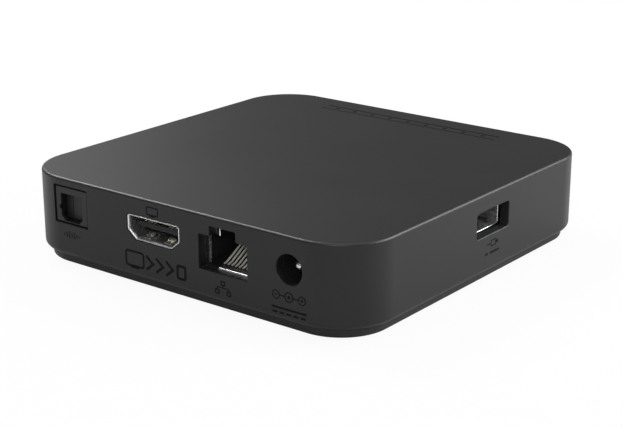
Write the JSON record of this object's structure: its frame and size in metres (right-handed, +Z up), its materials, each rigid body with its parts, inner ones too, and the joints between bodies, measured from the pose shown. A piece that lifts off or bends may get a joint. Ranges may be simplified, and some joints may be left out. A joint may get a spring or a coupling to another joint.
{
  "type": "streaming media player",
  "caption": "Low square television box with rounded corners, a rear row of optical, video, network and power ports, and an accessory port in one side.",
  "frame": {"origin": "under the middle of the box, on the surface that its feet stand on", "axes": "+Z up; the front with its infrared window faces -Y, the port row faces +Y and the accessory port faces -X"},
  "size_m": [0.095, 0.095, 0.0213],
  "materials": {
    "case_plastic": "satin moulded plastic, near black",
    "base_plastic": "fine textured moulded plastic, near black",
    "foot_rubber": "matt rubber",
    "screw_steel": "zinc plated steel",
    "window_plastic": "polished smoked plastic that passes infrared",
    "clear_plastic": "clear polished plastic",
    "socket_plastic": "black moulded plastic",
    "shutter_plastic": "dark grey moulded plastic",
    "port_steel": "tin plated steel sheet",
    "contact_gold": "gold plated contacts",
    "wire_steel": "bright steel",
    "board_laminate": "green solder resist on glass laminate",
    "chip_resin": "moulded epoxy, matt black",
    "shield_can": "tin plated shield can",
    "sink_aluminium": "natural anodised extrusion",
    "can_aluminium": "bright aluminium can",
    "pad_silicone": "soft grey silicone",
    "lead_jacket": "black coaxial cable jacket",
    "aerial_laminate": "green laminate",
    "label_paper": "blank printed paper label"
  },
  "bodies": {
    "root": {"top_cover": "case_plastic", "bottom_cover": "base_plastic", "rating_label": "label_paper", "front_window": "window_plastic", "status_light_pipe": "clear_plastic", "status_led": "clear_plastic", "infrared_receiver": "socket_plastic", "video_port_shell": "port_steel", "video_port_insulator": "socket_plastic", "video_port_contacts": "contact_gold", "network_jack_shield": "port_steel", "network_jack_housing": "socket_plastic", "network_jack_contacts": "contact_gold", "power_jack_housing": "socket_plastic", "power_jack_pin": "wire_steel", "power_jack_spring": "wire_steel", "accessory_port_shell": "port_steel", "accessory_port_insulator": "socket_plastic", "accessory_port_contacts": "contact_gold", "optical_port_housing": "socket_plastic", "shutter_hinge_pin": "wire_steel", "optical_emitter": "clear_plastic", "main_board": "board_laminate", "processor_chip": "chip_resin", "thermal_pad": "pad_silicone", "heat_sink": "sink_aluminium", "memory_chip_1": "chip_resin", "memory_chip_2": "chip_resin", "storage_chip": "chip_resin", "power_chip": "chip_resin", "wireless_module": "shield_can", "network_transformer": "chip_resin", "power_inductor_1": "chip_resin", "power_inductor_2": "chip_resin", "electrolytic_capacitor_1": "can_aluminium", "electrolytic_capacitor_2": "can_aluminium", "clock_crystal": "shield_can", "reset_switch_body": "socket_plastic", "wireless_aerial_1": "aerial_laminate", "wireless_aerial_2": "aerial_laminate", "aerial_lead_1": "lead_jacket", "aerial_lead_2": "lead_jacket", "foot_1": "foot_rubber", "case_screw_1": "screw_steel", "board_screw_1": "screw_steel", "foot_2": "foot_rubber", "case_screw_2": "screw_steel", "board_screw_2": "screw_steel", "foot_3": "foot_rubber", "case_screw_3": "screw_steel", "board_screw_3": "screw_steel", "foot_4": "foot_rubber", "case_screw_4": "screw_steel", "board_screw_4": "screw_steel"},
    "optical_shutter": {"optical_port_shutter": "shutter_plastic", "shutter_spring": "wire_steel"},
    "reset_plunger": {"reset_switch_plunger": "foot_rubber"}
  },
  "joints": [
    {"name": "shutter_hinge", "type": "hinge", "parent": "root", "child": "optical_shutter", "pos_m": [0.0306, 0.0455, 0.0182], "axis": [-1, 0, 0], "range_deg": [0, 85], "stiffness_Nm_per_rad": 0.001, "springref_deg": -17.19},
    {"name": "reset_press", "type": "slide", "parent": "root", "child": "reset_plunger", "axis": [0, 0, 1], "range_m": [0, 0.00025], "stiffness_N_per_m": 4000, "springref_m": -0.0001}
  ]
}
